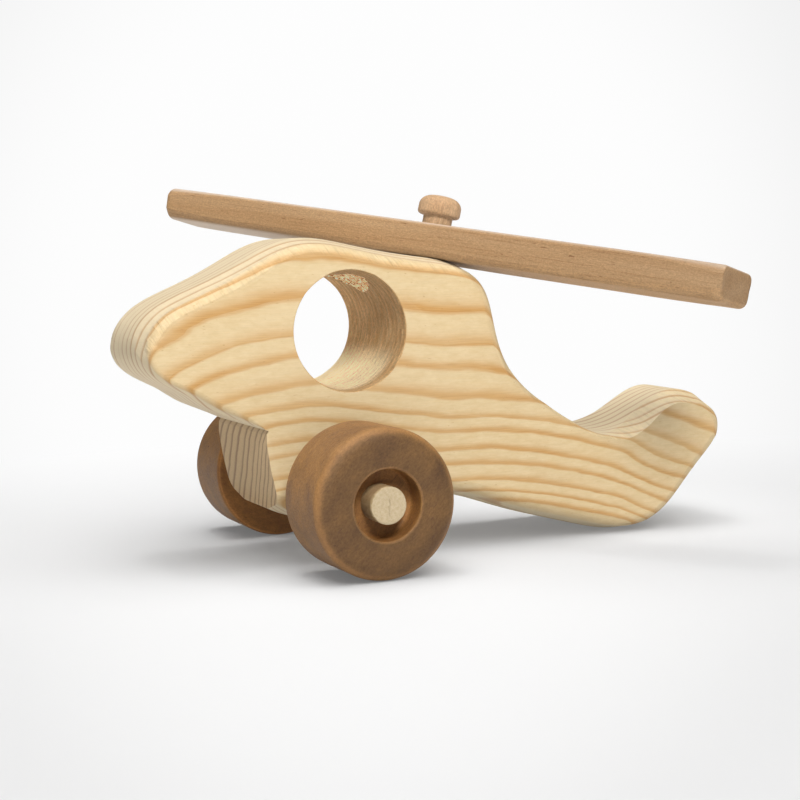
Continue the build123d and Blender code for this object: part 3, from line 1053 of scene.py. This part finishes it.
def wheel_material(name, seed, grain_degrees):
    """Dark oiled wheel wood; grain lies in the wheel's plane."""
    net = Surface(name)
    x, y, z = net.position()
    cos, sin = math.cos(math.radians(grain_degrees)), math.sin(math.radians(grain_degrees))
    grain = (x * cos + y * sin, y * cos - x * sin, z + seed * 7.0)   # along, across, through
    cloud = net.noise(grain, (0.07, 0.12, 0.12), detail=5.0, rough=0.62)
    streak = net.noise(grain, (0.12, 0.9, 0.9), detail=5.0, rough=0.7)
    fine = net.noise(grain, (1.0, 1.5, 1.5), detail=5.0, rough=0.85)
    color = net.ramp(cloud.remap((0.32, 0.68)), [
        (0.0, srgb(121, 88, 58)), (0.5, srgb(139, 103, 66)), (1.0, srgb(155, 115, 72))])
    color = net.bright(color, streak.remap((0.25, 0.75), (0.91, 1.07)))
    color = net.bright(color, fine.remap((0.36, 0.64), (0.74, 1.24)))
    color = net.tint(color, (1.0, 0.965, 0.86))
    radius = net.hypot(x, y)
    facing = abs(net.normal()[2])
    # flat faces were burnished darker; rims and lips are rubbed through to warmer wood, which
    # also serves as a painted highlight along them
    flat = facing.step(0.6, 0.97)
    color = net.bright(color, flat.remap((0.0, 1.0), (1.24, 0.60)))
    lip = radius.step(11.3, 11.5) * radius.step(12.4, 12.0) * z.step(26.0, 27.0)
    rim = radius.step(19.4, 21.4) * facing.step(0.995, 0.75) * facing.step(0.02, 0.40)
    patchy = net.noise((x, y, z), (0.11, 0.11, 0.11), detail=3.0, rough=0.6)
    wear_and_highlight = net.math("MINIMUM", lip * 0.45 + rim * 0.55, 1.0)
    wear_and_highlight = wear_and_highlight * patchy.remap((0.35, 0.62), (0.30, 1.0))
    warm = net.node("ShaderNodeRGB")
    warm.outputs[0].default_value = (*srgb(170, 124, 74), 1.0)
    worn_and_highlight_color = net.bright(net.out(warm), fine.remap((0.28, 0.72), (0.80, 1.16)))
    color = net.mix(wear_and_highlight, color, worn_and_highlight_color)
    # recess: oil gathered in the corner; it is also painted brighter and warmer than the face, as
    # light bouncing inside it
    recess = radius.step(12.0, 11.6) * z.step(27.2, 26.0)
    oiled_and_lit = net.bright(color, flat.remap((0.0, 1.0), (0.96, 2.05)))
    color = net.mix(recess, color, net.tint(oiled_and_lit, (1.0, 0.88, 0.70)))
    # painted light: the inner face is painted brighter and warmer, for the light it catches
    inner_face_lit = net.bright(color, flat.remap((0.0, 1.0), (1.12, 2.45)))
    color = net.mix(z.step(2.2, 0.8), color, net.tint(inner_face_lit, (1.0, 0.86, 0.66)))
    # open pores and a few nicks
    pore = net.noise(grain, (0.22, 2.4, 2.4), detail=1.0, rough=0.5).step(0.69, 0.75)
    color = net.mix(pore * 0.55, color, srgb(74, 46, 28))
    nick = net.noise(grain, (0.06, 0.62, 0.30), detail=2.0, rough=0.6, shift=(0, 0, 2.0))
    nick = nick.step(0.72, 0.77) * facing.step(0.6, 0.2)
    color = net.mix(nick * 0.85, color, srgb(70, 42, 24))
    # very faint turning rings on the faces
    turning = net.math("SINE", radius * 9.0)
    height = fine * 0.6 + turning * (facing.step(0.8, 0.99) * 0.05)
    height = height - (pore * 0.6 + nick * 1.4)
    normal = net.bump(height, distance=0.0004, strength=0.55)
    return net.finish(color, cloud.remap(MID, (0.50, 0.60)), normal, specular=0.36, neutral=0.8)


def dowel_material():
    net = Surface("pale_dowel_wood")
    x, y, z = place = net.position()
    streak = net.noise(place, (1.8, 1.8, 0.06), detail=4.0, rough=0.6)
    fine = net.noise(place, (4.0, 4.0, 0.5), detail=3.0, rough=0.7)
    color = net.mix(streak.remap(MID), srgb(213, 186, 140), srgb(231, 208, 166))
    end = abs(net.normal()[2]).step(0.6, 0.95)
    # end grain: bundles, pinholes and one thin check
    cell = net.node("ShaderNodeTexVoronoi")
    net.put(cell.inputs["Vector"], net.vec(x, y, 0.0))
    cell.inputs["Scale"].default_value = 2.3
    bundle = net.noise((x, y, 0.0), (0.9, 0.9, 0.0), detail=4.0, rough=0.65)
    end_color = net.mix(bundle.remap(MID), srgb(200, 177, 138), srgb(220, 201, 168))
    pinhole = net.out(cell, "Distance").step(0.16, 0.08)
    end_color = net.mix(pinhole * 0.45, end_color, srgb(168, 138, 98))
    bend = net.noise((0.0, y, 0.0), (0.0, 0.5, 0.0), detail=2.0, rough=0.5)
    check = abs(x + (bend - 0.5) * 1.8).step(0.16, 0.05) * abs(y - 0.4).step(3.2, 2.4)
    end_color = net.mix(check * 0.35, end_color, srgb(160, 128, 88))
    color = net.mix(end, color, end_color)
    # painted shade: the side is darker inside the wheels and between the parts; it is also
    # stained in places
    stain = net.noise(place, (0.7, 0.7, 0.7), detail=2.0, rough=0.6)
    stained = (1.0 - end) * stain.step(0.45, 0.6)
    painted_shade_inside = (1.0 - end) * abs(z).step(60.9, 59.0)
    color = net.mix(painted_shade_inside * 0.62, color, srgb(160, 118, 72))
    color = net.mix(stained * 0.30, color, srgb(160, 122, 76))
    height = fine * 0.5 + end * (bundle * 1.5 - (pinhole * 0.4 + check))
    normal = net.bump(height, distance=0.0005, strength=0.7)
    return net.finish(color, fine.remap(MID, (0.62, 0.74)), normal, specular=0.28)


# ------------------------------------------------------------------ build and place
fuselage = build_fuselage()
blade = build_blade()
peg = build_peg()
axle = build_axle()
wheel_port = build_wheel("wheel_port_wood", side=1, seed=1.7)
wheel_starboard = build_wheel("wheel_starboard_wood", side=-1, seed=5.2)

pine = pine_material()
blade_wood = hardwood_material(
    "rotor_blade_hardwood", axis="x", light=srgb(205, 166, 122), middle=srgb(192, 150, 104),
    deep=srgb(160, 114, 70), fleck_color=srgb(140, 92, 54), seed=2.0)
peg_wood = hardwood_material(
    "turned_peg_hardwood", axis="z", light=srgb(214, 176, 136), middle=srgb(198, 157, 116),
    deep=srgb(168, 124, 82), fleck_color=srgb(150, 98, 66), seed=11.0)
port_wood = wheel_material("wheel_wood_port", seed=1.0, grain_degrees=47.0)
starboard_wood = wheel_material("wheel_wood_starboard", seed=3.0, grain_degrees=20.0)
dowel = dowel_material()

for piece, material, body, node_name, slot in (
        (fuselage, pine, "airframe", "fuselage", "softwood"),
        (peg, peg_wood, "airframe", "rotor_peg", "turned_hardwood"),
        (blade, blade_wood, "rotor", "rotor_blade", "blade_hardwood"),
        (axle, dowel, "wheelset", "axle", "pale_dowel"),
        (wheel_port, port_wood, "wheelset", "wheel_port", "dark_wheel_wood"),
        (wheel_starboard, starboard_wood, "wheelset", "wheel_starboard", "dark_wheel_wood")):
    piece.data.materials.clear()
    piece.data.materials.append(material)
    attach(piece, body)
    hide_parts(node_name)

# ------------------------------------------------------------------ floor and world
# The view darkens towards its corners, on floor and world alike.
BRIGHT_SPOT = (0.46, 0.62)     # shares of the view's width and height
HEIGHT_WEIGHT = 0.75           # of vertical against horizontal distance from the spot
FALL_RANGE = (0.10, 0.48)      # weighted squared distance over which it darkens
BACKDROP = 0.985               # backdrop's glow at the bright spot


def floor_material():
    """White paper whose distant part glows evenly, like a sweep turning up behind."""
    net = Surface("floor_paper")
    x, y = [part * 1000.0 for part in net.split(net.object)[:2]]
    net.put(net.shader.inputs["Roughness"], 0.9)
    net.put(net.shader.inputs["Specular IOR Level"], 0.1)
    glow = net.node("ShaderNodeEmission")
    glow.inputs["Color"].default_value = (1, 1, 1, 1)
    distance = net.hypot(x, y - 90.0)
    # the paper is never fully dark
    fade = net.math("MAXIMUM", distance.step(180.0, 400.0), 0.12)
    view = net.node("ShaderNodeTexCoord")
    across, up, _ = net.split(net.out(view, "Window"))
    fall = abs(across - BRIGHT_SPOT[0]) ** 2.0 \
        + abs(up - BRIGHT_SPOT[1]) ** 2.0 * HEIGHT_WEIGHT
    path = net.node("ShaderNodeLightPath")
    # 0.117 off at the view's corners, 0.13 off the light thrown back onto the toy
    dim = fall.step(*FALL_RANGE) * 0.117 * net.out(path, "Is Camera Ray")
    dim = dim + net.out(path, "Is Diffuse Ray") * 0.13
    paper = net.bright(net.vec(1.0, 1.0, 1.0), (1.0 - dim) * 0.88)
    net.put(net.shader.inputs["Base Color"], paper)
    net.put(glow.inputs["Strength"], (1.0 - dim) * BACKDROP)
    blend = net.node("ShaderNodeMixShader")
    for i, value in enumerate((fade, net.out(net.shader), net.out(glow))):
        net.put(blend.inputs[i], value)
    net.put(net.output.inputs["Surface"], net.out(blend))
    return net.material


def build_floor(reach=40):
    """reach in metres."""
    mesh = bpy.data.meshes.new("floor")
    mesh.from_pydata([(-reach, -reach, 0), (reach, -reach, 0), (reach, reach, 0),
                      (-reach, reach, 0)], [], [(0, 1, 2, 3)])
    sheet = bpy.data.objects.new("floor", mesh)
    scene.collection.objects.link(sheet)
    mesh.materials.append(floor_material())
    return sheet


def build_world():
    """A dim warm light all round; the camera sees a white backdrop instead."""
    world = bpy.data.worlds.new("studio")
    scene.world = world
    world.use_nodes = True
    net = Net(world.node_tree)
    output = net.node("ShaderNodeOutputWorld")
    ambient = net.node("ShaderNodeBackground")
    ambient.inputs["Color"].default_value = (1.0, 0.99, 0.975, 1)
    ambient.inputs["Strength"].default_value = 0.13
    backdrop = net.node("ShaderNodeBackground")
    backdrop.inputs["Color"].default_value = (1, 1, 1, 1)
    path = net.node("ShaderNodeLightPath")
    view = net.node("ShaderNodeTexCoord")
    across, up, _ = net.split(net.out(view, "Window"))
    across, up = across - BRIGHT_SPOT[0], up - BRIGHT_SPOT[1]
    fall = across * across * 1.0 + up * up * HEIGHT_WEIGHT
    strength = fall.remap(FALL_RANGE, (BACKDROP, 0.87), "SMOOTHSTEP")
    net.put(backdrop.inputs["Strength"], strength)
    blend = net.node("ShaderNodeMixShader")
    for i, value in enumerate((net.out(path, "Is Camera Ray"), net.out(ambient),
                               net.out(backdrop))):
        net.put(blend.inputs[i], value)
    net.put(output.inputs["Surface"], net.out(blend))


floor = build_floor()
build_world()


# ------------------------------------------------------------------ lights
def softbox(name, place, target_z, size, power, receivers):
    """Square lamp aimed above the origin; receivers, if any, are all it lights."""
    light = bpy.data.lights.new(name, "AREA")
    light.shape = "RECTANGLE"
    light.size = light.size_y = size
    light.energy = power
    lamp = bpy.data.objects.new(name, light)
    scene.collection.objects.link(lamp)
    lamp.location = place
    lamp.rotation_mode = "QUATERNION"
    aim = Vector((0.0, 0.0, target_z)) - Vector(place)
    lamp.rotation_quaternion = aim.to_track_quat("-Z", "Y")
    if receivers:
        group = bpy.data.collections.new(name + "_on")
        for receiver in receivers:
            group.objects.link(receiver)
        lamp.light_linking.receiver_collection = group


toy = (fuselage, blade, peg, axle, wheel_port, wheel_starboard)
# name, place, height aimed at, side (all metres), watts, receivers
for lamp_row in (
        ("key_port", (0.23, 0.80, 0.70), 0.05, 0.30, 8.0, toy),
        ("overhead", (0.40, -0.08, 2.55), 0.03, 1.60, 8.0, ()),
        ("overhead_toy", (0.30, -0.05, 2.55), 0.03, 1.60, 20.0, toy),
        ("ceiling_spot", (0.43, -0.10, 2.60), 0.03, 0.34, 6.0, ()),
        ("key_paper", (0.26, 1.25, 1.02), 0.05, 0.60, 1.2, (floor,)),
        ("sky_paper", (-0.1, 0.45, 2.4), 0.0, 3.2, 68.0, (floor,))):
    softbox(*lamp_row)

# ------------------------------------------------------------------ camera
CAMERA_PLACE = (0.24203, 0.48744, 0.10134)               # metres
YAW, PITCH, ROLL = -0.44014, 0.09371, -0.01244           # radians; yaw from -Y, pitch down


def build_camera():
    forward = Vector((math.sin(YAW) * math.cos(PITCH), -math.cos(YAW) * math.cos(PITCH),
                      -math.sin(PITCH)))
    right = forward.cross(Vector((0, 0, 1))).normalized()
    up = right.cross(forward)
    rolled_right = math.cos(ROLL) * right + math.sin(ROLL) * up
    rolled_up = -math.sin(ROLL) * right + math.cos(ROLL) * up
    lens = bpy.data.cameras.new("camera")
    lens.sensor_width = 36.0
    lens.lens = 68.848
    lens.clip_start, lens.clip_end = 0.01, 100.0
    camera = bpy.data.objects.new("camera", lens)
    scene.collection.objects.link(camera)
    camera.matrix_world = frame_matrix(rolled_right, rolled_up, -forward, CAMERA_PLACE)
    scene.camera = camera


build_camera()
scene.view_settings.view_transform = "Standard"
scene.view_settings.look = "None"
